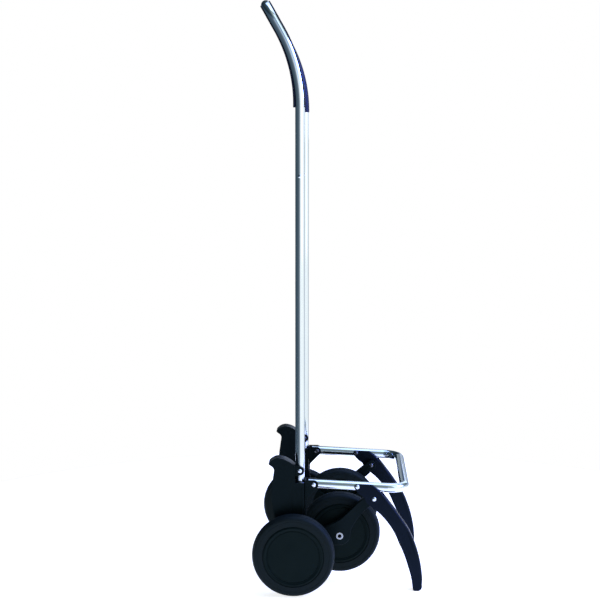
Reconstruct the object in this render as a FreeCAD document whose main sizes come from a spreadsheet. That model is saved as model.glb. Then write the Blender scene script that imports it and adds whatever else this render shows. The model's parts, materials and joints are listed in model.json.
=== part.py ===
"""Folding four-wheel shopping trolley chassis.

Units are millimetres.  +X is the front, +Y the left side, +Z up; the floor is Z = 0.
Every size comes from the Dimensions sheet.  The right-hand pieces (negative Y) are drawn, and the
left-hand ones mirror them about the XZ plane.
"""
import FreeCAD, Part
import os
import Sketcher
from FreeCAD import Placement, Rotation, Vector

doc = FreeCAD.newDocument("ShoppingTrolley")

# ----------------------------------------------------------------------------------------------
# Driving dimensions: alias, value, meaning
# ----------------------------------------------------------------------------------------------
DRIVING = [
    ("wheel_radius", 70.0, "tyre crown radius"),
    ("wheel_half_width", 15.0, "half the width of a wheel"),
    ("tread_edge_radius", 67.5, "tyre radius where the tread meets the shoulder"),
    ("tyre_side_radius", 64.0, "tyre radius at the flat side wall"),
    ("tyre_lip_radius", 52.0, "inner edge of the tyre's side lip"),
    ("rim_radius", 56.0, "rim barrel the tyre sits on"),
    ("rim_barrel_inner", 51.0, "inside of the rim barrel"),
    ("rim_half_width", 12.0, "half the width of the rim barrel"),
    ("rim_hub_radius", 13.0, "outside of the moulded hub"),
    ("rim_web_half", 2.0, "half the thickness of the rim web"),
    ("bush_radius", 8.0, "outside of the wheel bush"),
    ("disc_radius", 51.7, "outside of the wheel disc"),
    ("disc_ring_radius", 48.5, "raised ring on the wheel disc"),
    ("disc_groove_radius", 44.0, "shallow groove on the wheel disc"),
    ("rear_axle_x", -74.5, "rear axle, and the wheel carrier's pivot"),
    ("rear_axle_z", 70.0, "rear axle height"),
    ("rear_axle_radius", 5.0, "rear axle rod"),
    ("rear_axle_half", 192.5, "half the length of the rear axle"),
    ("rear_wheel_y", 181.0, "middle of a rear wheel"),
    ("front_axle_x", 3.5, "front axle"),
    ("front_axle_z", 89.0, "front axle height, wheels clear of the floor"),
    ("front_axle_radius", 4.0, "front axle tube"),
    ("front_axle_bore", 3.3, "hole through the front axle tube"),
    ("front_flare_radius", 6.0, "flared end of the front axle tube"),
    ("front_wheel_y", 96.0, "middle of a front wheel"),
    ("running", 0.05, "radial running clearance of shafts in holes"),
    ("gap", 0.3, "clearance between faces of different bodies"),
    ("upright_x", -64.5, "upright tubes"),
    ("side_y", 140.0, "middle of the uprights and of the tray tube"),
    ("tube_radius", 8.0, "upright and handle tube"),
    ("tube_wall", 1.2, "tube wall"),
    ("upright_bottom", 166.0, "lower end of the uprights inside their sockets"),
    ("joint_height", 723.0, "joint between uprights and handle bow"),
    ("plug_length", 34.0, "reduced end of the bow inside each upright"),
    ("bend_height", 822.5, "start of the handle's backward bend"),
    ("bend_radius", 254.0, "radius of the backward bend"),
    ("handle_tilt", 29.6, "tilt of the top of the handle, degrees"),
    ("handle_reach", 50.6, "straight length from the bend to the cross bar"),
    ("handle_corner", 30.0, "corner radius of the handle bow"),
    ("grip_radius", 10.2, "outside of the grip at its lower ends"),
    ("grip_offset", 1.4, "how far the grip's section sits behind the tube there"),
    ("grip_top_radius", 9.4, "outside of the grip round the top"),
    ("grip_bottom", 821.0, "lower ends of the grip"),
    ("seat_x", 7.5, "half the width of the strip of tube left bare"),
    ("lip_front_x", 8.0, "front lip at the grip's lower ends"),
    ("lip_rear_x", 10.6, "rear lip at the grip's lower ends"),
    ("lip_top_x", 8.7, "lips round the top"),
    ("tray_pivot_x", -41.0, "tray pivot rivet"),
    ("tray_pivot_z", 183.5, "tray pivot rivet height"),
    ("tray_slope", 2.9, "fall of the tray towards the front, degrees"),
    ("tray_reach", 156.2, "tray pivot to the middle of the front bar"),
    ("tray_tail", 9.0, "tray tube behind its pivot"),
    ("tray_corner", 30.0, "corner radius of the tray frame"),
    ("tray_tube_radius", 8.0, "tray tube"),
    ("leg_pivot_x", 33.5, "rivet between tray and leg"),
    ("leg_pivot_z", 180.5, "rivet between tray and leg, height"),
    ("link_pivot_x", 62.0, "rivet between leg and wheel arm"),
    ("link_pivot_z", 159.5, "rivet between leg and wheel arm, height"),
    ("rivet_radius", 3.0, "rivet shank"),
    ("rivet_head", 4.0, "radius of a rivet head"),
    ("rivet_dome", 2.2, "height of a rivet head"),
    ("flat_dome", 1.1, "height of the flat head that the wheel arm passes"),
    ("leg_inner", 129.0, "inner face of a leg"),
    ("leg_outer", 151.0, "outer face of a leg"),
    ("cheek_inner", 131.7, "inner cheek of leg and bracket, tube side"),
    ("cheek_outer", 148.3, "outer cheek of leg and bracket, tube side"),
    ("leg_round", 4.0, "rounding along the outer edge of a leg"),
    ("arm_inner", 117.0, "inner face of a wheel arm"),
    ("arm_outer", 127.5, "outer face of a wheel arm"),
    ("housing_inner", 130.0, "inner face of a side housing"),
    ("housing_outer", 158.0, "outer face of a side housing"),
    ("clip_rivet_z", 208.0, "rivet that holds the housing to the upright"),
    ("clip_radius", 7.5, "rounded ear round that rivet"),
]

# Derived cells: alias, formula, meaning
DERIVED = [
    ("bow_x", "=upright_x - bend_radius * (1 - cos(handle_tilt * 1 deg))", "end of the backward bend"),
    ("bow_z", "=bend_height + bend_radius * sin(handle_tilt * 1 deg)", "end of the backward bend"),
    ("bow_mid_x", "=upright_x - bend_radius * (1 - cos(handle_tilt * 0.5 deg))", "middle of the bend"),
    ("bow_mid_z", "=bend_height + bend_radius * sin(handle_tilt * 0.5 deg)", "middle of the bend"),
    ("bar_x", "=bow_x - handle_reach * sin(handle_tilt * 1 deg)", "handle cross bar"),
    ("bar_z", "=bow_z + handle_reach * cos(handle_tilt * 1 deg)", "handle cross bar height"),
    ("corner_cut", "=handle_corner * (1 - sqrt(0.5))", "middle of a handle corner"),
    ("tray_cut", "=tray_corner * (1 - sqrt(0.5))", "middle of a tray corner"),
    ("tube_inner", "=tube_radius - tube_wall", "inside of the upright tube"),
    ("seat_y", "=sqrt(tube_radius ^ 2 - seat_x ^ 2)", "edge of the bare strip"),
    ("lip_front_y", "=sqrt(grip_radius ^ 2 - (lip_front_x + grip_offset) ^ 2)", "front lip"),
    ("lip_rear_y", "=sqrt(grip_radius ^ 2 - (lip_rear_x - grip_offset) ^ 2)", "rear lip"),
    ("lip_top_y", "=sqrt(grip_top_radius ^ 2 - lip_top_x ^ 2)", "lips round the top"),
    ("leg_hole_u", "=(leg_pivot_x - tray_pivot_x) * cos(tray_slope * 1 deg)"
     " - (leg_pivot_z - tray_pivot_z) * sin(tray_slope * 1 deg)", "leg rivet along the tray"),
    ("leg_hole_v", "=(leg_pivot_x - tray_pivot_x) * sin(tray_slope * 1 deg)"
     " + (leg_pivot_z - tray_pivot_z) * cos(tray_slope * 1 deg)", "leg rivet above the tray's axis"),
]

sheet = doc.addObject("Spreadsheet::Sheet", "Dimensions")
for row, (alias, value, meaning) in enumerate(DRIVING + DERIVED, start=1):
    sheet.set("A%d" % row, meaning)
    sheet.set("B%d" % row, value if isinstance(value, str) else "%g" % value)
    sheet.setAlias("B%d" % row, alias)
doc.recompute()
DIM = {alias: float(sheet.get(alias)) for alias, _, _ in DRIVING + DERIVED}

nodes = {}


# ----------------------------------------------------------------------------------------------
# Helpers.  A length is a number, an alias, or a tuple of them to be added; "-alias" subtracts.
# ----------------------------------------------------------------------------------------------
def as_tuple(terms):
    return terms if isinstance(terms, tuple) else (terms,)


def number(terms):
    """The value of a length."""
    total = 0.0
    for term in as_tuple(terms):
        if not isinstance(term, str):
            total += term
        elif term.startswith("-"):
            total -= DIM[term[1:]]
        else:
            total += DIM[term]
    return total


def formula(terms):
    """The same length as an expression on the sheet."""
    text = ""
    for term in as_tuple(terms):
        if not isinstance(term, str):
            text += " %s %.6g" % ("-" if term < 0 else "+", abs(term))
        elif term.startswith("-"):
            text += " - Dimensions." + term[1:]
        else:
            text += " + Dimensions." + term
    return "0" + text


def negative(terms):
    """The opposite of a length."""
    flipped = []
    for term in as_tuple(terms):
        if not isinstance(term, str):
            flipped.append(-term)
        else:
            flipped.append(term[1:] if term.startswith("-") else "-" + term)
    return tuple(flipped)


def new_body(label, x=0.0, z=0.0):
    """An empty body whose Placement carries the piece's own origin."""
    body = doc.addObject("PartDesign::Body", label + "_body")
    body.Label = label
    body.setExpression("Placement.Base.x", formula(x))
    body.setExpression("Placement.Base.z", formula(z))
    nodes[label] = body
    return body


def new_sketch(body, name, plane, offset=(0.0, 0.0, 0.0), axis=None, angle=None):
    """A sketch on an origin plane (XY, XZ or YZ), moved by offset in the plane's own axes."""
    sketch = body.newObject("Sketcher::SketchObject", "%s_%s" % (body.Label, name))
    origin_plane = [f for f in body.Origin.OriginFeatures if f.Role == plane + "_Plane"][0]
    sketch.AttachmentSupport = [(origin_plane, "")]
    sketch.MapMode = "FlatFace"
    turn = Rotation(axis, number(angle)) if axis else Rotation()
    sketch.AttachmentOffset = Placement(Vector(*[number(part) for part in offset]), turn)
    for part, terms in zip("xyz", offset):
        sketch.setExpression("AttachmentOffset.Base." + part, formula(terms))
    if axis:
        sketch.setExpression("AttachmentOffset.Rotation.Angle", formula(angle))
    return sketch


def side_sketch(body, name, y):
    """A sketch in X and Z at the given Y.  Pads from it grow towards -Y, pockets towards +Y."""
    return new_sketch(body, name, "XZ", (0.0, 0.0, negative(y)))


def fix_point(sketch, edge, end, u, v):
    """Bind one point of a sketch to two lengths."""
    for kind, terms in (("DistanceX", u), ("DistanceY", v)):
        index = sketch.addConstraint(Sketcher.Constraint(kind, -1, 1, edge, end, number(terms)))
        name = "%s_%d" % (kind[-1].lower(), index)
        sketch.renameConstraint(index, name)
        sketch.setExpression("Constraints." + name, formula(terms))


def outline(sketch, vertices, closed=True):
    """Lines and arcs through vertices (u, v) or (u, v, (via_u, via_v)).

    The via point makes the edge that leaves the vertex an arc through it.
    """
    points = [Vector(number(v[0]), number(v[1]), 0) for v in vertices]
    count = len(points)
    starts = []
    for index in range(count if closed else count - 1):
        start, end = points[index], points[(index + 1) % count]
        if len(vertices[index]) == 3:
            via = vertices[index][2]
            middle = Vector(number(via[0]), number(via[1]), 0)
            edge = sketch.addGeometry(Part.Arc(start, middle, end), False)
            forward = sketch.getPoint(edge, 1).distanceToPoint(start) < 1e-6
            mark = sketch.addGeometry(Part.Point(middle), True)
            fix_point(sketch, mark, 1, via[0], via[1])
            sketch.addConstraint(Sketcher.Constraint("PointOnObject", mark, 1, edge))
        else:
            edge = sketch.addGeometry(Part.LineSegment(start, end), False)
            forward = True
        starts.append((edge, 1 if forward else 2, 2 if forward else 1))
    for index, (edge, first, last) in enumerate(starts):
        fix_point(sketch, edge, first, vertices[index][0], vertices[index][1])
        if closed or index + 1 < len(starts):
            following, next_first, _ = starts[(index + 1) % len(starts)]
            sketch.addConstraint(Sketcher.Constraint("Coincident", edge, last, following, next_first))
        else:
            fix_point(sketch, edge, last, vertices[-1][0], vertices[-1][1])
    return sketch


def circle(sketch, u, v, radius):
    """A circle whose centre and radius follow the sheet."""
    centre = Vector(number(u), number(v), 0)
    edge = sketch.addGeometry(Part.Circle(centre, Vector(0, 0, 1), number(radius)), False)
    fix_point(sketch, edge, 3, u, v)
    index = sketch.addConstraint(Sketcher.Constraint("Radius", edge, number(radius)))
    name = "radius_%d" % index
    sketch.renameConstraint(index, name)
    sketch.setExpression("Constraints." + name, formula(radius))
    return sketch


def pad(body, sketch, length, kind="Pad"):
    """A pad or pocket of a length on the sheet."""
    feature = body.newObject("PartDesign::" + kind, "%s_%s" % (sketch.Name, kind.lower()))
    feature.Profile = sketch
    feature.Length = number(length)
    feature.setExpression("Length", formula(length))
    sketch.Visibility = False
    doc.recompute()
    return feature


def pocket(body, sketch, length):
    """A pocket, checked to have taken material away."""
    before = body.Shape.Volume
    feature = pad(body, sketch, length, "Pocket")
    if feature.Shape.Volume >= before - 1e-3:
        raise RuntimeError("%s removed nothing" % feature.Name)
    return feature


def round_rim(body, y_faces, radius, wanted):
    """Fillet the edges of the last solid that lie in the planes y_faces and pass the wanted test."""
    names, source = [], body.Tip
    for index, edge in enumerate(source.Shape.Edges, start=1):
        box = edge.BoundBox
        middle = edge.valueAt((edge.FirstParameter + edge.LastParameter) / 2.0)
        in_plane = any(abs(box.YMin - y) < 1e-4 and abs(box.YMax - y) < 1e-4 for y in y_faces)
        if in_plane and wanted(middle):
            names.append("Edge%d" % index)
    feature = body.newObject("PartDesign::Fillet", body.Label + "_fillet")
    feature.Base = (source, names)
    feature.Radius = DIM[radius]
    feature.setExpression("Radius", formula(radius))
    doc.recompute()
    return feature


def turned(label, x, z, profile):
    """A piece turned about its own Y axis.  The profile gives (radius, y) points."""
    body = new_body(label, x, z)
    sketch = outline(new_sketch(body, "profile", "XY"), profile)
    feature = body.newObject("PartDesign::Revolution", label + "_turn")
    feature.Profile = sketch
    feature.ReferenceAxis = (sketch, ["V_Axis"])
    feature.Angle = 360
    sketch.Visibility = False
    doc.recompute()
    return body


def ring(label, x, z, inner, outer, y_low, y_high):
    """A plain tube or washer."""
    return turned(label, x, z, [(inner, y_low), (outer, y_low), (outer, y_high), (inner, y_high)])


def pipe(body, name, profile, path, edge_count):
    """A profile swept along every edge of a path sketch."""
    feature = body.newObject("PartDesign::AdditivePipe", "%s_%s" % (body.Label, name))
    feature.Profile = profile
    feature.Spine = (path, ["Edge%d" % (index + 1) for index in range(edge_count)])
    profile.Visibility = False
    path.Visibility = False
    doc.recompute()
    return feature


def mirror_node(label, source_label):
    """The left-hand twin of a right-hand piece."""
    twin = doc.addObject("Part::Mirroring", label + "_mirror")
    twin.Label = label
    twin.Source = nodes[source_label]
    twin.Base = Vector(0, 0, 0)
    twin.Normal = Vector(0, 1, 0)
    nodes[label] = twin
    return twin


# ----------------------------------------------------------------------------------------------
# Uprights and handle
# ----------------------------------------------------------------------------------------------
def upright():
    """A straight tube, drilled for the housing rivet and for the bow's rivet."""
    body = new_body("upright_right")
    base = new_sketch(body, "section", "XY", (0.0, 0.0, "upright_bottom"))
    circle(base, "upright_x", ("-side_y",), "tube_radius")
    circle(base, "upright_x", ("-side_y",), "tube_inner")
    pad(body, base, ("joint_height", "-upright_bottom"))
    drill = side_sketch(body, "rivet_holes", ("-side_y", -20.0))
    circle(drill, "upright_x", "clip_rivet_z", "rivet_radius")
    circle(drill, "upright_x", ("joint_height", -16.0), 2.0)
    pocket(body, drill, 40.0)
    mirror_node("upright_left", "upright_right")


def bow_paths(body, start_z):
    """The side path of the bow's right leg, and the path of its tilted top."""
    side = side_sketch(body, "side_path", ("-side_y",))
    outline(side, [("upright_x", start_z),
                   ("upright_x", "bend_height", ("bow_mid_x", "bow_mid_z")),
                   ("bow_x", "bow_z")], closed=False)
    top = new_sketch(body, "top_path", "YZ", (0.0, "bar_z", "bar_x"), Vector(1, 0, 0),
                     ("-handle_tilt",))
    outline(top, [(("-side_y",), ("-handle_reach",)),
                  (("-side_y",), ("-handle_corner",), (("-side_y", "corner_cut"), ("-corner_cut",))),
                  (("-side_y", "handle_corner"), 0.0),
                  (("side_y", "-handle_corner"), 0.0, (("side_y", "-corner_cut"), ("-corner_cut",))),
                  ("side_y", ("-handle_corner",)),
                  ("side_y", ("-handle_reach",))], closed=False)
    return side, top


def bow_solid(body, start_z, low_section, high_section):
    """Sweep a section up the right leg, blending it into the one over the top, and mirror the leg."""
    side, top = bow_paths(body, start_z)
    low = new_sketch(body, "side_section", "XY", (0.0, 0.0, start_z))
    low_section(low, "upright_x")
    high = new_sketch(body, "top_section", "XY", ("bow_x", 0.0, "bow_z"), Vector(0, 1, 0),
                      ("-handle_tilt",))
    high_section(high, 0.0)
    leg = pipe(body, "side_pipe", low, side, 2)
    if low_section is not high_section:
        leg.Transformation = "Multisection"
        leg.Sections = [high]
        doc.recompute()
    pipe(body, "top_pipe", high, top, 5)
    twin = body.newObject("PartDesign::Mirrored", body.Label + "_mirrored")
    twin.Originals = [leg]
    twin.MirrorPlane = ([f for f in body.Origin.OriginFeatures if f.Role == "XZ_Plane"][0], [""])
    body.Tip = twin
    doc.recompute()


def tube_section(sketch, centre_x):
    circle(sketch, centre_x, ("-side_y",), "tube_radius")
    circle(sketch, centre_x, ("-side_y",), "tube_inner")


def plus(base, extra):
    """Two lengths added."""
    return as_tuple(base) + as_tuple(extra)


def open_ring(sketch, centre_x, front, rear, far):
    """A C that is open towards the outer side of the bow.  front and rear are its lip points."""
    outline(sketch, [
        (plus(centre_x, front[0]), ("-side_y", "-" + front[1]), (far[0], ("-side_y", far[1]))),
        (plus(centre_x, "-" + rear[0]), ("-side_y", "-" + rear[1])),
        (plus(centre_x, "-seat_x"), ("-side_y", "-seat_y"), (centre_x, ("-side_y", "tube_radius"))),
        (plus(centre_x, "seat_x"), ("-side_y", "-seat_y"))])


def grip_low_section(sketch, centre_x):
    open_ring(sketch, centre_x, ("lip_front_x", "lip_front_y"), ("lip_rear_x", "lip_rear_y"),
              (plus(centre_x, "-grip_offset"), "grip_radius"))


def grip_high_section(sketch, centre_x):
    open_ring(sketch, centre_x, ("lip_top_x", "lip_top_y"), ("lip_top_x", "lip_top_y"),
              (centre_x, "grip_top_radius"))


def handle():
    """The chrome bow, the plugs that enter the uprights, and the moulded grip."""
    body = new_body("handle_bow")
    bow_solid(body, "joint_height", tube_section, tube_section)
    body = new_body("handle_grip")
    bow_solid(body, "grip_bottom", grip_low_section, grip_high_section)
    body = new_body("handle_plug_right")
    low = new_sketch(body, "section", "XY", (0.0, 0.0, ("joint_height", "-plug_length")))
    circle(low, "upright_x", ("-side_y",), "tube_inner")
    circle(low, "upright_x", ("-side_y",), ("tube_inner", "-tube_wall"))
    pad(body, low, ("plug_length", "plug_length"))
    drill = side_sketch(body, "rivet_hole", ("-side_y", -20.0))
    circle(drill, "upright_x", ("joint_height", -16.0), 2.0)
    pocket(body, drill, 40.0)
    mirror_node("handle_plug_left", "handle_plug_right")


# ----------------------------------------------------------------------------------------------
# Rivets
# ----------------------------------------------------------------------------------------------
def head_points(face, side, radius="rivet_head", height="rivet_dome"):
    """Profile points of a domed head with a small flat on top, from the flat to the rim.

    side is -1 for a head that points to -Y and +1 for one that points to +Y.
    """
    rise = as_tuple(height) if side > 0 else negative(height)
    top = plus(face, rise)
    crown = (plus(radius, -1.1), plus(top, -0.25 * side * number(height)))
    return [(0.0, top), (0.8, top, crown)], (radius, face), (
        (radius, face, crown), (0.8, top), (0.0, top))


def rivet(label, x, z, y_outer, y_inner, shank="rivet_radius", head="rivet_head", dome="rivet_dome",
          inner_dome=None):
    """A domed rivet on the right side, heads on y_outer and y_inner, and its left twin."""
    inner_dome = inner_dome or dome
    low, high = negative(y_outer), negative(y_inner)
    first, rim, _ = head_points(low, -1, head, dome)
    _, _, last = head_points(high, 1, head, inner_dome)
    turned(label + "_right", x, z, first + [rim, (shank, low), (shank, high)] + list(last))
    mirror_node(label + "_left", label + "_right")


def rivets():
    rivet("tray_rivet", "tray_pivot_x", "tray_pivot_z", "leg_outer", "leg_inner",
          inner_dome="flat_dome")
    rivet("leg_rivet", "leg_pivot_x", "leg_pivot_z", "leg_outer", "leg_inner")
    rivet("clip_rivet", "upright_x", "clip_rivet_z", ("housing_outer", -4.0), "housing_inner")
    rivet("bow_rivet", "upright_x", ("joint_height", -16.0), ("side_y", "tube_radius"),
          ("side_y", "-tube_radius"), 2.0, 3.2, 1.6)
    # The linkage rivet is shown as two halves: one in the leg, one in the wheel arm.
    first, rim, _ = head_points(("-leg_outer",), -1)
    turned("link_rivet_right", "link_pivot_x", "link_pivot_z", first + [
        rim, ("rivet_radius", ("-leg_outer",)),
        ("rivet_radius", ("-leg_inner",)), (0.0, ("-leg_inner",))])
    mirror_node("link_rivet_left", "link_rivet_right")
    _, _, last = head_points(("-arm_inner",), 1)
    turned("arm_rivet_right", "link_pivot_x", "link_pivot_z", [
        (0.0, ("-leg_inner", "gap")), (6.0, ("-leg_inner", "gap")), (6.0, ("-arm_outer",)),
        ("rivet_radius", ("-arm_outer",)), ("rivet_radius", ("-arm_inner",))] + list(last))
    mirror_node("arm_rivet_left", "arm_rivet_right")


# ----------------------------------------------------------------------------------------------
# Side housing, bracket, tray, legs, wheel arms
# ----------------------------------------------------------------------------------------------
def housing():
    """The moulded side plate: hook at the top, socket for the upright, rear axle boss."""
    body = new_body("housing_right")
    plate = side_sketch(body, "outline", ("-housing_inner",))
    outline(plate, [
        (-57.0, 188.0), (-57.0, 92.0), (-59.0, 74.0, (-74.5, 56.0)), (-90.0, 74.0),
        (-105.4, 120.0), (-108.6, 136.0, (-112.0, 156.0)), (-112.5, 178.0),
        (-109.7, 198.0), (-108.3, 208.5, (-109.2, 213.4)), (-112.6, 216.6),
        (-115.4, 218.8, (-117.3, 221.0)), (-116.2, 223.2, (-109.4, 228.6)),
        (-100.7, 230.8, (-91.6, 229.0)), (-83.6, 225.2, (-77.4, 221.0)),
        (-72.7, 216.0), (-72.7, 188.0)])
    pad(body, plate, ("housing_outer", "-housing_inner"))
    ear = side_sketch(body, "ear", ("-housing_inner",))
    outline(ear, [(-78.0, 198.5), ("upright_x", ("clip_rivet_z", "-clip_radius"),
                                   (("upright_x", "clip_radius"), "clip_rivet_z")),
                  ("upright_x", ("clip_rivet_z", "clip_radius")), (-78.0, 219.0)])
    pad(body, ear, ("housing_outer", "-housing_inner", -4.0))
    seat = new_sketch(body, "tube_seat", "XY", (0.0, 0.0, "upright_bottom"))
    circle(seat, "upright_x", ("-side_y",), "tube_radius")
    hole = body.newObject("PartDesign::Pocket", "housing_tube_seat_pocket")
    hole.Profile = seat
    hole.Reversed = True
    hole.Length = 100
    seat.Visibility = False
    doc.recompute()
    panel = side_sketch(body, "panel", ("-housing_outer", 0.0))
    outline(panel, [(-60.5, 182.0), (-60.5, 100.0), (-72.0, 92.0), (-79.0, 104.0), (-79.0, 182.0)])
    pocket(body, panel, 1.6)
    drill = side_sketch(body, "holes", ("-housing_outer", -1.0))
    circle(drill, "upright_x", "clip_rivet_z", "rivet_radius")
    circle(drill, "rear_axle_x", "rear_axle_z", "rear_axle_radius")
    pocket(body, drill, 40.0)
    mirror_node("housing_left", "housing_right")


def bracket():
    """The gusset in front of each socket: two cheeks that hold the tray's pivot rivet."""
    body = new_body("bracket_right")
    plate = side_sketch(body, "outline", ("-leg_inner",))
    outline(plate, [
        (-56.4, 191.5), (("tray_pivot_x"), ("tray_pivot_z", 8.0),
                         (("tray_pivot_x", 8.0), "tray_pivot_z")),
        (-36.0, 177.2), (-52.5, 160.5), (-54.0, 157.0), (-54.0, 128.0), (-56.4, 128.0)])
    pad(body, plate, ("leg_outer", "-leg_inner"))
    slot = side_sketch(body, "slot", ("-cheek_outer",))
    outline(slot, [(-54.0, 200.0), (-54.0, 170.0), (-47.0, 162.0), (-20.0, 162.0), (-20.0, 200.0)])
    pocket(body, slot, ("cheek_outer", "-cheek_inner"))
    drill = side_sketch(body, "hole", ("-leg_outer", -1.0))
    circle(drill, "tray_pivot_x", "tray_pivot_z", "rivet_radius")
    pocket(body, drill, 40.0)
    mirror_node("bracket_left", "bracket_right")


def tray():
    """The U-shaped tray frame, bent from round tube, with plugs in its rear ends."""
    body = new_body("tray_frame", "tray_pivot_x", "tray_pivot_z")
    body.Placement = Placement(body.Placement.Base, Rotation(Vector(0, 1, 0), DIM["tray_slope"]))
    body.setExpression("Placement.Rotation.Angle", formula("tray_slope"))
    path = new_sketch(body, "path", "XY")
    reach, side, corner = "tray_reach", "side_y", "tray_corner"
    outline(path, [
        (("-tray_tail",), ("-side_y",)),
        ((reach, "-tray_corner"), ("-side_y",), ((reach, "-tray_cut"), ("-side_y", "tray_cut"))),
        (reach, ("-side_y", corner)),
        (reach, (side, "-tray_corner"), ((reach, "-tray_cut"), (side, "-tray_cut"))),
        ((reach, "-tray_corner"), side),
        (("-tray_tail",), side)], closed=False)
    section = new_sketch(body, "section", "YZ", (0.0, 0.0, ("-tray_tail",)))
    circle(section, ("-side_y",), 0.0, "tray_tube_radius")
    circle(section, ("-side_y",), 0.0, ("tray_tube_radius", "-tube_wall"))
    pipe(body, "pipe", section, path, 5)
    drill = side_sketch(body, "holes", -160.0)
    circle(drill, 0.0, 0.0, ("rivet_radius", "running"))
    circle(drill, "leg_hole_u", "leg_hole_v", ("rivet_radius", "running"))
    pocket(body, drill, 320.0)
    plug = new_body("tray_plug_right", "tray_pivot_x", "tray_pivot_z")
    plug.Placement = Placement(plug.Placement.Base, Rotation(Vector(0, 1, 0), DIM["tray_slope"]))
    plug.setExpression("Placement.Rotation.Angle", formula("tray_slope"))
    face = new_sketch(plug, "section", "YZ", (0.0, 0.0, ("-tray_tail",)))
    circle(face, ("-side_y",), 0.0, ("tray_tube_radius", "-tube_wall"))
    pad(plug, face, 6.0)
    mirror_node("tray_plug_left", "tray_plug_right")


def leg():
    """A curved channel leg.  Its upper end is open so that it straddles the tray tube."""
    body = new_body("leg_right")
    plate = side_sketch(body, "outline", ("-leg_inner",))
    outline(plate, [
        (33.0, 185.2), (59.5, 184.2, (68.5, 177.0)), (76.4, 168.6, (83.0, 160.4)),
        (89.0, 152.4, (100.3, 137.6)), (110.3, 123.0, (122.9, 103.3)),
        (132.0, 82.6, (140.4, 55.0)), (144.6, 28.0, (145.2, 18.0)), (144.6, 9.0, (142.6, 2.6)),
        (137.6, 0.0), (131.6, 0.0, (129.6, 1.4)),
        (128.9, 4.0), (128.1, 8.8, (125.3, 25.5)), (120.3, 42.7, (112.8, 65.5)),
        (103.4, 86.5, (92.8, 108.4)), (79.7, 126.0, (65.6, 140.0)),
        (50.0, 151.5, (47.2, 157.6)), (45.0, 162.0, (36.3, 168.6)),
        (29.3, 177.6, (28.4, 182.4))])
    pad(body, plate, ("leg_outer", "-leg_inner"))
    round_rim(body, (-DIM["leg_inner"], -DIM["leg_outer"]), "leg_round",
              lambda p: p.x > 62.0 and p.x + 0.62 * p.z > 165.0)
    channel = side_sketch(body, "channel", ("-cheek_outer",))
    outline(channel, [
        (20.0, 200.0), (20.0, 140.0), (60.0, 110.0), (110.0, 16.0), (137.0, 16.0),
        (138.6, 38.0, (135.6, 59.0)), (129.0, 81.4, (120.1, 101.7)), (107.7, 121.2, (97.7, 135.7)),
        (86.4, 150.5), (79.5, 159.3), (79.5, 200.0)])
    pocket(body, channel, ("cheek_outer", "-cheek_inner"))
    drill = side_sketch(body, "holes", ("-leg_outer", -1.0))
    circle(drill, "leg_pivot_x", "leg_pivot_z", "rivet_radius")
    circle(drill, "link_pivot_x", "link_pivot_z", "rivet_radius")
    pocket(body, drill, 30.0)
    mirror_node("leg_left", "leg_right")


def arm():
    """A flat wheel arm from the rear axle past the front hub to the leg."""
    body = new_body("arm_right")
    plate = side_sketch(body, "outline", ("-arm_inner",))
    outline(plate, [
        (56.6, 166.2), (33.7, 147.1, (18.0, 131.0)), (4.6, 118.8, (-6.0, 112.4)),
        (-18.0, 107.2), (-70.0, 80.6, (-86.0, 68.0)), (-69.0, 60.5),
        (-2.0, 72.6, (17.6, 79.4)), (22.0, 96.0, (34.0, 119.0)),
        (54.3, 140.3), (68.4, 153.6, (68.4, 165.6))])
    pad(body, plate, ("arm_outer", "-arm_inner"))
    drill = side_sketch(body, "holes", ("-arm_outer", -1.0))
    circle(drill, "rear_axle_x", "rear_axle_z", ("rear_axle_radius", "running"))
    circle(drill, "front_axle_x", "front_axle_z", "front_axle_radius")
    circle(drill, "link_pivot_x", "link_pivot_z", "rivet_radius")
    pocket(body, drill, 30.0)
    mirror_node("arm_left", "arm_right")


# ----------------------------------------------------------------------------------------------
# Axles and wheels
# ----------------------------------------------------------------------------------------------
def axles():
    rear, front = ("rear_axle_x", "rear_axle_z"), ("front_axle_x", "front_axle_z")
    turned("rear_axle", rear[0], rear[1], [
        (0.0, ("-rear_axle_half",)), ("rear_axle_radius", ("-rear_axle_half",)),
        ("rear_axle_radius", "rear_axle_half"), (0.0, "rear_axle_half")])
    ring("rear_distance_tube", rear[0], rear[1], ("rear_axle_radius",), 8.0,
         ("-arm_inner", "gap"), ("arm_inner", "-gap"))
    ring("rear_spacer_right", rear[0], rear[1], "rear_axle_radius", 9.0,
         ("-rear_wheel_y", "wheel_half_width", "gap"), ("-housing_outer",))
    mirror_node("rear_spacer_left", "rear_spacer_right")
    ring("rear_nut_right", rear[0], rear[1], "rear_axle_radius", 7.0,
         ("-rear_axle_half", 1.0), ("-rear_axle_half", 3.0))
    mirror_node("rear_nut_left", "rear_nut_right")
    flare, end = "front_flare_radius", ("leg_inner", "-gap")
    turned("front_axle", front[0], front[1], [
        ("front_axle_bore", negative(end)), (flare, negative(end)), (flare, ("-arm_outer",)),
        ("front_axle_radius", ("-arm_outer",)), ("front_axle_radius", "arm_outer"),
        (flare, "arm_outer"), (flare, end), ("front_axle_bore", end)])
    ring("front_distance_tube", front[0], front[1], "front_axle_radius", 8.0,
         ("-front_wheel_y", "wheel_half_width", "gap"), ("front_wheel_y", "-wheel_half_width", "-gap"))
    ring("front_spacer_right", front[0], front[1], "front_axle_radius", 9.0,
         ("-arm_inner",), ("-front_wheel_y", "-wheel_half_width", "-gap"))
    mirror_node("front_spacer_left", "front_spacer_right")


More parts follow.
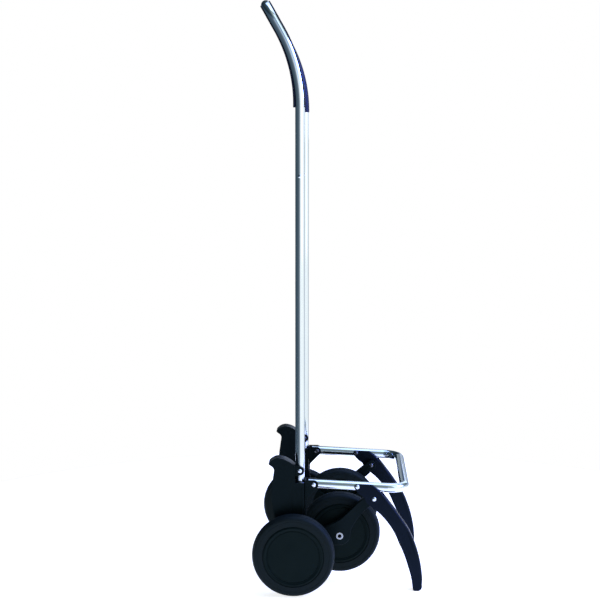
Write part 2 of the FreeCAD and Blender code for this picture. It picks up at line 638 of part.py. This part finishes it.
def wheel(name, x, z, y, shaft, disc_bore):
    """A right-hand wheel and its left twin: tyre, moulded rim, bush and covering disc."""
    middle = negative(y)
    outside = plus(middle, "-wheel_half_width")
    inside = plus(middle, "wheel_half_width")
    turned(name + "_tyre_right", x, z, [
        ("tyre_lip_radius", outside), ("tyre_side_radius", outside, (66.4, plus(outside, 0.9))),
        ("tread_edge_radius", plus(outside, 2.8), ("wheel_radius", middle)),
        ("tread_edge_radius", plus(inside, -2.8), (66.4, plus(inside, -0.9))),
        ("tyre_side_radius", inside), ("tyre_lip_radius", inside),
        ("tyre_lip_radius", plus(middle, "rim_half_width")), ("rim_radius", plus(middle, "rim_half_width")),
        ("rim_radius", plus(middle, "-rim_half_width")),
        ("tyre_lip_radius", plus(middle, "-rim_half_width"))])
    turned(name + "_rim_right", x, z, [
        ("bush_radius", plus(middle, -8.0)), ("rim_hub_radius", plus(middle, -8.0)),
        ("rim_hub_radius", plus(middle, "-rim_web_half")),
        ("rim_barrel_inner", plus(middle, "-rim_web_half")),
        ("rim_barrel_inner", plus(middle, "-rim_half_width")),
        ("rim_radius", plus(middle, "-rim_half_width")), ("rim_radius", plus(middle, "rim_half_width")),
        ("rim_barrel_inner", plus(middle, "rim_half_width")),
        ("rim_barrel_inner", plus(middle, "rim_web_half")), ("rim_hub_radius", plus(middle, "rim_web_half")),
        ("rim_hub_radius", inside), ("bush_radius", inside)])
    ring(name + "_bush_right", x, z, (shaft, "running"), "bush_radius", plus(middle, -8.0), inside)
    face = plus(outside, 1.0)
    back = plus(middle, "-rim_half_width")
    turned(name + "_disc_right", x, z, [
        (disc_bore, plus(face, 0.6)), ("disc_groove_radius", face),
        (("disc_groove_radius", 0.8), plus(face, 0.6)), (("disc_groove_radius", 1.6), face),
        (("disc_ring_radius", -1.5), face),
        ("disc_ring_radius", plus(outside, 0.2)), (("disc_ring_radius", 1.5), face),
        ("disc_radius", face), ("disc_radius", back), (disc_bore, back)])
    for piece in ("tyre", "rim", "bush", "disc"):
        mirror_node("%s_%s_left" % (name, piece), "%s_%s_right" % (name, piece))


upright()
handle()
rivets()
housing()
bracket()
tray()
leg()
arm()
axles()
wheel("rear", "rear_axle_x", "rear_axle_z", "rear_wheel_y", "rear_axle_radius", 0.0)
wheel("front", "front_axle_x", "front_axle_z", "front_wheel_y", "front_axle_radius", 6.0)

# ----------------------------------------------------------------------------------------------
# Check and export
# ----------------------------------------------------------------------------------------------
doc.recompute()
for item in doc.Objects:
    if "Invalid" in item.State or "Error" in item.State:
        raise RuntimeError("%s failed to build: %s" % (item.Label, item.State))

os.makedirs("parts", exist_ok=True)
whole = FreeCAD.BoundBox()
for label in sorted(nodes):
    shape = nodes[label].Shape
    if shape.isNull() or not shape.isValid() or shape.Volume <= 0:
        raise RuntimeError("%s has no valid shape" % label)
    if len(shape.Solids) != 1:
        print("NOTE %s has %d solids" % (label, len(shape.Solids)))
    shape.exportStep("parts/%s.step" % label)
    whole.add(shape.BoundBox)
print("%d nodes, box %s" % (len(nodes), whole))
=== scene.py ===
import json
import math

import bmesh
import bpy
from mathutils import Matrix, Vector

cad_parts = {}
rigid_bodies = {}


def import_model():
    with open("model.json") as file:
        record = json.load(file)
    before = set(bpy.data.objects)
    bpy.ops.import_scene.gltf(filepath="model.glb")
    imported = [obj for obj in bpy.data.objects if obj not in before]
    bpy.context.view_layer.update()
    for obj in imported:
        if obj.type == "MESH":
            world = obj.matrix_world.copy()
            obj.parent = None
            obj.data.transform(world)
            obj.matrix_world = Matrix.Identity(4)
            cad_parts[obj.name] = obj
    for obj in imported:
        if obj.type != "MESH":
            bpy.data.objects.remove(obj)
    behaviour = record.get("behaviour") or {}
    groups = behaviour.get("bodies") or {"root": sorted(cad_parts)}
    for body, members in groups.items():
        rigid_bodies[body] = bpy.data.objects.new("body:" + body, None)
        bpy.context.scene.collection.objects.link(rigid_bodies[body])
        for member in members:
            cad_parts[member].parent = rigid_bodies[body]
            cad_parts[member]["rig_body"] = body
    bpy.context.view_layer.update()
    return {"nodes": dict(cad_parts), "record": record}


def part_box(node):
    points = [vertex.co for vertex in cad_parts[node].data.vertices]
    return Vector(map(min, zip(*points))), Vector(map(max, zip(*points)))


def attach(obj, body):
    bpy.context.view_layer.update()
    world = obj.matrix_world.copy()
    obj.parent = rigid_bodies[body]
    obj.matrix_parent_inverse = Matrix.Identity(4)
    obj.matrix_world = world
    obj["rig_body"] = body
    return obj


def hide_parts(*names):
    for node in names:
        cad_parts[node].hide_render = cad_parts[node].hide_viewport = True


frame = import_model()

NODES = frame["nodes"]
SLOT_OF = {part["node"]: part["material_slot"] for part in frame["record"]["subparts"]}
SIDES = (("right", -1.0), ("left", 1.0))
MM = 0.001
MERGE_DISTANCE = 1e-6


# ------------------------------------------------------------------------------------------
# Materials
# ------------------------------------------------------------------------------------------
def fill_ramp(node, stops):
    """Set a colour ramp's stops from (position, colour) pairs; a number is a grey."""
    elements = node.color_ramp.elements
    while len(elements) < len(stops):
        elements.new(0.5)
    for element, (position, colour) in zip(elements, stops):
        element.position = position
        element.color = colour if isinstance(colour, tuple) else (colour, colour, colour, 1.0)


class Shader:
    """A Principled material and the few node chains the finishes are made of."""

    def __init__(self, name, stretch=(1.0, 1.0, 1.0)):
        self.material = bpy.data.materials.new(name)
        self.material.use_nodes = True
        self.tree = self.material.node_tree
        self.bsdf = self.tree.nodes["Principled BSDF"]
        coords = self.tree.nodes.new("ShaderNodeTexCoord")
        self.place = self.tree.nodes.new("ShaderNodeMapping")
        self.place.inputs["Scale"].default_value = stretch
        self.tree.links.new(coords.outputs["Object"], self.place.inputs["Vector"])
        self.normal = None

    def noise(self, scale, detail=3.0, rough=0.55):
        node = self.tree.nodes.new("ShaderNodeTexNoise")
        node.inputs["Scale"].default_value = scale
        node.inputs["Detail"].default_value = detail
        node.inputs["Roughness"].default_value = rough
        self.tree.links.new(self.place.outputs["Vector"], node.inputs["Vector"])
        return node.outputs["Fac"]

    def cells(self, scale):
        node = self.tree.nodes.new("ShaderNodeTexVoronoi")
        node.inputs["Scale"].default_value = scale
        self.tree.links.new(self.place.outputs["Vector"], node.inputs["Vector"])
        return node.outputs["Distance"]

    def ramp(self, factor, stops):
        node = self.tree.nodes.new("ShaderNodeValToRGB")
        fill_ramp(node, stops)
        self.tree.links.new(factor, node.inputs["Fac"])
        return node.outputs["Color"]

    def colour(self, factor, stops):
        self.tree.links.new(self.ramp(factor, stops), self.bsdf.inputs["Base Color"])

    def roughness(self, factor, stops):
        self.tree.links.new(self.ramp(factor, stops), self.bsdf.inputs["Roughness"])

    def bump(self, height, strength, distance):
        """Add relief on top of any relief that is there already."""
        node = self.tree.nodes.new("ShaderNodeBump")
        node.inputs["Strength"].default_value = strength
        node.inputs["Distance"].default_value = distance
        self.tree.links.new(height, node.inputs["Height"])
        if self.normal is not None:
            self.tree.links.new(self.normal, node.inputs["Normal"])
        self.normal = node.outputs["Normal"]
        self.tree.links.new(self.normal, self.bsdf.inputs["Normal"])

    def set(self, **values):
        for name, value in values.items():
            self.bsdf.inputs[name.replace("_", " ")].default_value = value


def rgb(red, green, blue):
    """An sRGB colour of 0 to 255 as a linear one."""
    linear = []
    for value in (red, green, blue):
        value /= 255.0
        linear.append(value / 12.92 if value <= 0.04045 else ((value + 0.055) / 1.055) ** 2.4)
    return (*linear, 1.0)


def chrome(name, stretch):
    """Bright plated tube with faint drawing lines and haze, stretched along the tube."""
    shader = Shader(name, stretch)
    shader.set(Metallic=1.0)
    haze = shader.noise(scale=35.0, detail=4.0)
    shader.colour(haze, [(0.3, rgb(206, 215, 216)), (0.7, rgb(224, 231, 231))])
    shader.roughness(haze, [(0.35, 0.075), (0.62, 0.13), (0.75, 0.2)])
    shader.bump(shader.noise(scale=420.0, detail=2.0), strength=0.035, distance=0.0004)
    return shader.material


def plastic(name, dark, light, rough, grain, strength, level=0.3, tint=(0.5, 0.72, 1.0)):
    """Moulded plastic: slight colour drift, uneven gloss and a fine mould grain."""
    shader = Shader(name)
    shader.set(Specular_IOR_Level=level, Specular_Tint=(*tint, 1.0))
    drift = shader.noise(scale=24.0, detail=4.0)
    shader.colour(drift, [(0.3, rgb(*dark)), (0.72, rgb(*light))])
    gloss = shader.noise(scale=60.0, detail=5.0, rough=0.65)
    shader.roughness(gloss, [(0.3, rough - 0.07), (0.7, rough + 0.09)])
    shader.bump(shader.cells(grain), strength, distance=0.00025)
    shader.bump(shader.noise(scale=90.0, detail=2.0), strength=0.12, distance=0.0004)
    return shader.material


def rubber(name):
    """Tyre rubber: dry, matt, with paler scuffed patches and fine pores."""
    shader = Shader(name)
    shader.set(Specular_IOR_Level=0.16, Specular_Tint=(0.78, 0.92, 0.84, 1.0))
    wear = shader.noise(scale=70.0, detail=6.0, rough=0.7)
    shader.colour(wear, [(0.35, rgb(7, 15, 16)), (0.6, rgb(10, 20, 21)), (0.85, rgb(21, 32, 34))])
    shader.roughness(wear, [(0.3, 0.55), (0.8, 0.8)])
    shader.bump(shader.noise(scale=1300.0, detail=3.0), strength=0.25, distance=0.0003)
    return shader.material


def turning_marks(shader):
    """The fine relief that a lathe leaves on steel."""
    shader.bump(shader.noise(scale=1500.0, detail=2.0), strength=0.08, distance=0.0002)


def steel(name, dark, light, rough):
    """Zinc-plated or bright turned steel."""
    shader = Shader(name)
    shader.set(Metallic=1.0)
    tone = shader.noise(scale=160.0, detail=4.0)
    shader.colour(tone, [(0.3, rgb(*dark)), (0.7, rgb(*light))])
    shader.roughness(tone, [(0.3, rough - 0.06), (0.7, rough + 0.1)])
    turning_marks(shader)
    return shader.material


def rivet_with_painted_shade(name):
    """Bright steel outer heads; the inner ends, nearer the middle plane than the tubes, are darkened as
    painted shade.
    """
    # Heads nearer the middle plane than these distances get a darker grey as painted shade; the steel is
    # the same at both ends.
    painted_shade_until, unshaded_from = 0.138, 0.142
    shader = Shader(name)
    shader.set(Metallic=1.0)
    make, join = shader.tree.nodes.new, shader.tree.links.new
    parts, across = make("ShaderNodeSeparateXYZ"), make("ShaderNodeMath")
    join(shader.place.outputs["Vector"], parts.inputs["Vector"])
    across.operation = "ABSOLUTE"
    join(parts.outputs["Y"], across.inputs[0])
    side = make("ShaderNodeMapRange")
    side.inputs["From Min"].default_value = painted_shade_until
    side.inputs["From Max"].default_value = unshaded_from
    join(across.outputs["Value"], side.inputs["Value"])
    bright_tone = shader.noise(scale=160.0, detail=4.0)
    bright = shader.ramp(bright_tone, [(0.3, rgb(205, 211, 212)), (0.7, rgb(240, 243, 242))])
    # Painted shade: a dark grey ramp for the inner heads, standing in for the shade they sit in.
    painted_shade_noise = shader.noise(scale=90.0, detail=4.0)
    painted_shade_colour = shader.ramp(painted_shade_noise, [(0.3, rgb(66, 70, 78)), (0.7, rgb(104, 106, 110))])
    choose = make("ShaderNodeMixRGB")
    join(side.outputs["Result"], choose.inputs["Fac"])
    join(painted_shade_colour, choose.inputs["Color1"])
    join(bright, choose.inputs["Color2"])
    join(choose.outputs["Color"], shader.bsdf.inputs["Base Color"])
    shader.roughness(shader.noise(scale=160.0, detail=3.0), [(0.3, 0.2), (0.7, 0.34)])
    turning_marks(shader)
    return shader.material


MATERIALS = {
    "chrome_tube": chrome("chrome_tube_finish", stretch=(1.0, 1.0, 0.12)),
    "tray_chrome": chrome("tray_chrome_finish", stretch=(0.2, 0.2, 1.0)),
    "black_plastic": plastic("moulded_black", dark=(3, 8, 9), light=(6, 12, 13), rough=0.38,
                             grain=1500.0, strength=0.15, level=0.125, tint=(0.5, 0.76, 0.76)),
    "leg_plastic": plastic("leg_moulding", dark=(2, 5, 7), light=(5, 9, 13), rough=0.36,
                           grain=1500.0, strength=0.12, level=0.155, tint=(0.46, 0.66, 1.0)),
    "wheel_plastic": plastic("wheel_moulding", dark=(4, 13, 14), light=(7, 16, 16), rough=0.42,
                             grain=1900.0, strength=0.1, level=0.085, tint=(0.66, 0.92, 0.76)),
    "spacer_plastic": plastic("spacer_moulding", dark=(16, 18, 21), light=(26, 28, 32), rough=0.5,
                              grain=1500.0, strength=0.15),
    "grip": plastic("grip_moulding", dark=(8, 12, 22), light=(13, 18, 32), rough=0.45,
                    grain=800.0, strength=0.5, tint=(0.4, 0.5, 1.0)),
    "tyre": rubber("tyre_rubber"),
    # Rivet steel, with painted shade on the inner heads.
    "rivet": rivet_with_painted_shade("rivet_steel_painted_inner_shade"),
    "bow_rivet": steel("bow_rivet_steel", dark=(205, 211, 212), light=(238, 241, 240), rough=0.24),
    "axle_steel": steel("axle_zinc", dark=(150, 154, 152), light=(188, 190, 184), rough=0.34),
}


def set_finish(piece, finish):
    """Give a piece one of the procedural finishes."""
    piece.data.materials.clear()
    piece.data.materials.append(MATERIALS[finish])


# ------------------------------------------------------------------------------------------
# Mesh helpers, in metres
# ------------------------------------------------------------------------------------------
def centre_of(node):
    low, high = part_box(node)
    return (Vector(low) + Vector(high)) / 2.0


def link_mesh(name, mesh_data, body, slot_name, replaced, finish=None):
    """Put a finished mesh in the scene, on its body, in place of a CAD node."""
    piece = bpy.data.objects.new(name, mesh_data)
    bpy.context.scene.collection.objects.link(piece)
    set_finish(piece, finish or slot_name)
    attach(piece, body)
    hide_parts(replaced)
    return piece


def smooth_by_angle(mesh, degrees=32.0):
    """Smooth faces, with the edges sharper than the angle kept crisp."""
    limit = math.radians(degrees)
    for face in mesh.faces:
        face.smooth = True
    for edge in mesh.edges:
        edge.smooth = len(edge.link_faces) == 2 and edge.calc_face_angle(0.0) < limit


def to_data(mesh, name):
    """Finish a bmesh as mesh data, and free it."""
    bmesh.ops.recalc_face_normals(mesh, faces=mesh.faces)
    smooth_by_angle(mesh)
    data = bpy.data.meshes.new(name)
    mesh.to_mesh(data)
    mesh.free()
    return data


def lathe(mesh, profile, centre, side, steps):
    """Turn a closed profile of (radius, y) millimetres about the Y axis through centre."""
    rings = []
    for step in range(steps):
        angle = 2.0 * math.pi * step / steps
        ring = []
        for radius, offset in profile:
            ring.append(mesh.verts.new((centre.x + radius * MM * math.cos(angle),
                                        centre.y + side * offset * MM,
                                        centre.z + radius * MM * math.sin(angle))))
        rings.append(ring)
    count = len(profile)
    for step in range(steps):
        here, there = rings[step], rings[(step + 1) % steps]
        for index in range(count):
            following = (index + 1) % count
            mesh.faces.new((here[index], here[following], there[following], there[index]))
    bmesh.ops.remove_doubles(mesh, verts=mesh.verts, dist=MERGE_DISTANCE)


def block(mesh, low, high, matrix):
    """A box between two corners, moved and turned by a matrix."""
    corners = []
    for x in (low[0], high[0]):
        for y in (low[1], high[1]):
            for z in (low[2], high[2]):
                corners.append(mesh.verts.new(matrix @ Vector((x, y, z))))
    for face in ((0, 1, 3, 2), (4, 6, 7, 5), (0, 4, 5, 1), (2, 3, 7, 6), (0, 2, 6, 4), (1, 5, 7, 3)):
        mesh.faces.new([corners[index] for index in face])


def softened(node, slot_name, width, finish=None):
    """A moulding: the CAD shape with its sharp edges rounded."""
    source = NODES[node]
    mesh = bmesh.new()
    mesh.from_mesh(source.data)
    bmesh.ops.remove_doubles(mesh, verts=mesh.verts, dist=MERGE_DISTANCE)
    bmesh.ops.dissolve_limit(mesh, angle_limit=math.radians(1.0), verts=mesh.verts, edges=mesh.edges)
    name = node + "_moulding"
    piece = link_mesh(name, to_data(mesh, name), source["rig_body"], slot_name, node, finish)
    bevel = piece.modifiers.new("edges", "BEVEL")
    bevel.width = width
    bevel.segments = 3
    bevel.limit_method = "ANGLE"
    bevel.angle_limit = math.radians(40.0)


# ------------------------------------------------------------------------------------------
# Carried-over CAD nodes
# ------------------------------------------------------------------------------------------
OWN_FINISH = {"tray_frame": "tray_chrome", "bow_rivet_right": "bow_rivet", "bow_rivet_left": "bow_rivet"}
for node_name, node_object in NODES.items():
    set_finish(node_object, OWN_FINISH.get(node_name, SLOT_OF[node_name]))

# ------------------------------------------------------------------------------------------
# Wheels.  Sizes are in millimetres; y counts from the wheel's middle plane to its outer face.
# ------------------------------------------------------------------------------------------
TYRE_HALF = 15.0
TYRE_BORE = 52.0
TYRE_CROWN = 70.0
TYRE_SHOULDER = 67.5
TREAD_HALF = 12.2
SHOULDER_Y = 12.4
TREAD_STEPS = 48
TREAD_GROOVES = (-8.0, -2.8, 2.8, 8.0)
GROOVE_HALF = 0.75
GROOVE_DEPTH = 0.9
GROOVE_STEEPNESS = 1.6

SEAT_RADIUS = 56.0
SEAT_HALF = 12.0

BUSH_RADIUS = 8.0
HUB_RADIUS = 13.0
HUB_OUTER_Y = 8.0
BARREL_RADIUS = 51.0
WEB_HALF = 2.0
CHAMFER = 0.6
RIB_COUNT = 10
RIB_HALF = 1.2
RIB_RADII = (12.5, 51.2)
RIB_Y = (1.9, 9.5)

DISC_BORE = {"rear": 0.0, "front": 6.0}
ALMOST_CENTRE = 0.001


def tyre_profile():
    """A rounded tyre section with four fine tread grooves and a moulded side rib."""
    side = [(TYRE_BORE, -TYRE_HALF + 0.4), (52.6, -TYRE_HALF), (60.0, -TYRE_HALF),
            (60.5, -TYRE_HALF + 0.35), (61.2, -TYRE_HALF + 0.35), (61.7, -TYRE_HALF),
            (64.0, -TYRE_HALF), (65.6, -TYRE_HALF + 0.45), (66.8, -TYRE_HALF + 1.4),
            (67.4, -TYRE_HALF + 2.6)]
    tread = []
    for step in range(TREAD_STEPS + 1):
        y = -TREAD_HALF + 2.0 * TREAD_HALF * step / TREAD_STEPS
        radius = TYRE_CROWN - (TYRE_CROWN - TYRE_SHOULDER) * (y / SHOULDER_Y) ** 2
        nearest = min(abs(y - groove) for groove in TREAD_GROOVES)
        depth = max(0.0, 1.0 - nearest / GROOVE_HALF)
        tread.append((radius - GROOVE_DEPTH * min(1.0, depth * GROOVE_STEEPNESS), y))
    other_side = [(radius, -y) for radius, y in reversed(side)]
    seat = [(TYRE_BORE, SEAT_HALF), (SEAT_RADIUS, SEAT_HALF), (SEAT_RADIUS, -SEAT_HALF),
            (TYRE_BORE, -SEAT_HALF)]
    return side + tread + other_side + seat


def rim_profile():
    """The barrel, web and hub, with chamfered corners."""
    return [(BUSH_RADIUS, HUB_OUTER_Y), (HUB_RADIUS - CHAMFER, HUB_OUTER_Y),
            (HUB_RADIUS, HUB_OUTER_Y - CHAMFER), (HUB_RADIUS, WEB_HALF),
            (BARREL_RADIUS - CHAMFER, WEB_HALF), (BARREL_RADIUS, WEB_HALF + CHAMFER),
            (BARREL_RADIUS, SEAT_HALF), (SEAT_RADIUS, SEAT_HALF), (SEAT_RADIUS, -SEAT_HALF),
            (BARREL_RADIUS + CHAMFER, -SEAT_HALF), (BARREL_RADIUS, -SEAT_HALF + CHAMFER),
            (BARREL_RADIUS, -WEB_HALF - CHAMFER), (BARREL_RADIUS - CHAMFER, -WEB_HALF),
            (HUB_RADIUS + CHAMFER, -WEB_HALF), (HUB_RADIUS, -WEB_HALF - CHAMFER),
            (HUB_RADIUS, -TYRE_HALF + 0.5), (HUB_RADIUS - 0.5, -TYRE_HALF),
            (BUSH_RADIUS, -TYRE_HALF)]


def rim_mesh(centre, side):
    """The moulded rim, with radial ribs on the inner side."""
    mesh = bmesh.new()
    lathe(mesh, rim_profile(), centre, side, steps=96)
    rib_y = sorted(-side * y for y in RIB_Y)
    for index in range(RIB_COUNT):
        spoke = Matrix.Rotation(2.0 * math.pi * index / RIB_COUNT, 4, "Y")
        block(mesh, (RIB_RADII[0] * MM, rib_y[0] * MM, -RIB_HALF * MM),
              (RIB_RADII[1] * MM, rib_y[1] * MM, RIB_HALF * MM), Matrix.Translation(centre) @ spoke)
    return mesh


def disc_profile(bore):
    """The face disc: a shallow dish with a groove and a raised ring, and a rolled rim."""
    if bore:
        middle = [(bore, SEAT_HALF), (bore, 14.2), (bore + 0.6, 14.6), (bore + 4.0, 14.5)]
    else:
        middle = [(ALMOST_CENTRE, SEAT_HALF), (ALMOST_CENTRE, 14.35)]
    dish = [(14.0, 14.3), (20.0, 13.95), (30.0, 13.75), (40.0, 13.85)]
    groove = [(43.2, 13.9), (43.7, 13.3), (44.4, 13.3), (44.9, 13.95)]
    ring = [(46.6, 14.1), (47.6, 14.7), (48.5, 14.9), (49.4, 14.7), (50.4, 14.1)]
    rolled_rim = [(51.3, 13.9), (51.7, 13.5), (51.7, SEAT_HALF)]
    return middle + dish + groove + ring + rolled_rim


def make_wheel(axle, hand, side):
    """The tyre, rim and face disc of one wheel."""
    body = "%s_wheel_%s" % (axle, hand)
    tyre, rim, disc = ["%s_%s_%s" % (axle, kind, hand) for kind in ("tyre", "rim", "disc")]
    centre = centre_of(tyre)
    shape = bmesh.new()
    lathe(shape, tyre_profile(), centre, side, steps=144)
    link_mesh(tyre + "_tread", to_data(shape, tyre), body, "tyre", tyre)
    link_mesh(rim + "_ribbed", to_data(rim_mesh(centre, side), rim), body, "wheel_plastic", rim)
    shape = bmesh.new()
    lathe(shape, disc_profile(DISC_BORE[axle]), centre, side, steps=128)
    link_mesh(disc + "_face", to_data(shape, disc), body, "wheel_plastic", disc)


for axle_name in DISC_BORE:
    for hand_name, hand_sign in SIDES:
        make_wheel(axle_name, hand_name, hand_sign)

# ------------------------------------------------------------------------------------------
# Mouldings with rounded edges
# ------------------------------------------------------------------------------------------
EDGE_WIDTHS = {"housing": 0.0012, "bracket": 0.0005, "leg": 0.0012, "arm": 0.0014}
MOULDING_FINISH = {"leg": "leg_plastic"}
for hand_name, _ in SIDES:
    for moulding, edge_width in EDGE_WIDTHS.items():
        softened(moulding + "_" + hand_name, "black_plastic", edge_width, MOULDING_FINISH.get(moulding))
softened("handle_grip", "grip", 0.0006)

# ------------------------------------------------------------------------------------------
# Camera, floor and light
# ------------------------------------------------------------------------------------------
SENSOR_WIDTH = 36.0
LENS_PER_SENSOR_WIDTH = 2.394
CAMERA_PLACE = (0.0093, -2.5503, 0.7426)
CAMERA_YAW = 0.0306
CAMERA_PITCH = 0.1008


def make_camera():
    """A level camera that looks along +Y, turned slightly to -X and tilted down."""
    data = bpy.data.cameras.new("camera")
    data.sensor_width = SENSOR_WIDTH
    data.lens = SENSOR_WIDTH * LENS_PER_SENSOR_WIDTH
    data.clip_end = 200.0
    camera = bpy.data.objects.new("camera", data)
    bpy.context.scene.collection.objects.link(camera)
    bpy.context.scene.camera = camera
    camera.matrix_world = (Matrix.Translation(CAMERA_PLACE) @ Matrix.Rotation(CAMERA_YAW, 4, "Z")
                           @ Matrix.Rotation(math.pi / 2.0 - CAMERA_PITCH, 4, "X"))


def plain_stage(name, radius, z, shade, glow):
    """A flat, round, pale floor."""
    mesh = bmesh.new()
    bmesh.ops.create_circle(mesh, cap_ends=True, segments=128, radius=radius)
    data = bpy.data.meshes.new(name)
    mesh.to_mesh(data)
    mesh.free()
    piece = bpy.data.objects.new(name, data)
    piece.location = (0.0, 0.0, z)
    bpy.context.scene.collection.objects.link(piece)
    shader = Shader(name + "_finish")
    shader.set(Specular_IOR_Level=0.0, Roughness=1.0)
    shader.colour(shader.noise(scale=0.6), [(0.3, shade), (0.7, shade * 0.985)])
    shader.set(Emission_Color=(1.0, 1.0, 1.0, 1.0), Emission_Strength=glow)
    data.materials.append(shader.material)


def area_light(name, place, target, size, power, colour):
    """A soft rectangular light that points at a target."""
    data = bpy.data.lights.new(name, "AREA")
    data.shape = "RECTANGLE"
    data.size, data.size_y = size
    data.energy = power
    data.color = colour
    light = bpy.data.objects.new(name, data)
    direction = Vector(target) - Vector(place)
    light.location = place
    light.rotation_euler = direction.to_track_quat("-Z", "Y").to_euler()
    bpy.context.scene.collection.objects.link(light)
    return light


# What the world reflects: the three ramps run from the -1 to the +1 end of each direction and
# are multiplied.  Dark on the left, grey ahead, white on the right, with a bluish band above.
WORLD_STRENGTH = 1.35
WORLD_RAMPS = {
    "X": [(0.0, (0.045, 0.072, 0.095, 1.0)), (0.30, (0.10, 0.13, 0.17, 1.0)),
          (0.47, (0.24, 0.29, 0.34, 1.0)), (0.60, (0.92, 0.95, 1.0, 1.0)), (1.0, 1.0)],
    "Y": [(0.0, 1.0), (0.62, (0.9, 0.92, 0.95, 1.0)), (1.0, (0.26, 0.29, 0.36, 1.0))],
    "Z": [(0.0, (0.8, 0.85, 0.95, 1.0)), (0.54, 1.0), (0.60, (0.36, 0.48, 0.76, 1.0)),
          (0.68, (0.22, 0.28, 0.27, 1.0)), (1.0, (0.55, 0.6, 0.58, 1.0))],
}


def studio_world():
    """White behind the object, and the ramps' product for reflections and fill light."""
    world = bpy.data.worlds.new("studio")
    bpy.context.scene.world = world
    world.use_nodes = True
    tree = world.node_tree
    tree.nodes.clear()
    make, join = tree.nodes.new, tree.links.new
    output = make("ShaderNodeOutputWorld")
    seen, fill = make("ShaderNodeBackground"), make("ShaderNodeBackground")
    seen.inputs["Color"].default_value = (1.0, 1.0, 1.0, 1.0)
    fill.inputs["Strength"].default_value = WORLD_STRENGTH
    coords, parts = make("ShaderNodeTexCoord"), make("ShaderNodeSeparateXYZ")
    join(coords.outputs["Generated"], parts.inputs["Vector"])
    shade = None
    for axis, stops in WORLD_RAMPS.items():
        spread = make("ShaderNodeMapRange")
        spread.inputs["From Min"].default_value = -1.0
        join(parts.outputs[axis], spread.inputs["Value"])
        ramp = make("ShaderNodeValToRGB")
        fill_ramp(ramp, stops)
        join(spread.outputs["Result"], ramp.inputs["Fac"])
        if shade is None:
            shade = ramp.outputs["Color"]
            continue
        blend = make("ShaderNodeMixRGB")
        blend.blend_type = "MULTIPLY"
        blend.inputs["Fac"].default_value = 1.0
        join(shade, blend.inputs["Color1"])
        join(ramp.outputs["Color"], blend.inputs["Color2"])
        shade = blend.outputs["Color"]
    join(shade, fill.inputs["Color"])
    rays, choose = make("ShaderNodeLightPath"), make("ShaderNodeMixShader")
    join(rays.outputs["Is Camera Ray"], choose.inputs["Fac"])
    join(fill.outputs["Background"], choose.inputs[1])
    join(seen.outputs["Background"], choose.inputs[2])
    join(choose.outputs["Shader"], output.inputs["Surface"])


make_camera()
plain_stage("floor", radius=1.0, z=-0.0004, shade=0.93, glow=0.82)
area_light("key", place=(2.2, -1.5, 1.7), target=(0.0, 0.0, 0.5), size=(1.8, 3.0), power=24.0,
           colour=(0.58, 0.7, 1.0))
area_light("sky", place=(0.5, 0.4, 3.2), target=(0.0, 0.0, 0.0), size=(2.4, 2.4), power=42.0,
           colour=(0.42, 0.56, 1.0))
area_light("front_sky", place=(2.0, -0.2, 1.5), target=(0.1, 0.0, 0.1), size=(1.0, 1.1), power=90.0,
           colour=(0.16, 0.24, 1.0))
backdrop = area_light("backdrop", place=(-0.1, 3.0, 0.58), target=(0.1, 0.0, 0.2), size=(2.4, 0.5),
                      power=1.1, colour=(0.92, 1.0, 0.99))
backdrop.visible_camera = False
area_light("back", place=(0.9, 2.6, 1.8), target=(0.0, 0.0, 0.5), size=(1.4, 2.2), power=16.0,
           colour=(0.62, 0.72, 1.0))
studio_world()

bpy.context.scene.view_settings.view_transform = "Standard"
bpy.context.scene.view_settings.look = "None"

bpy.context.view_layer.update()
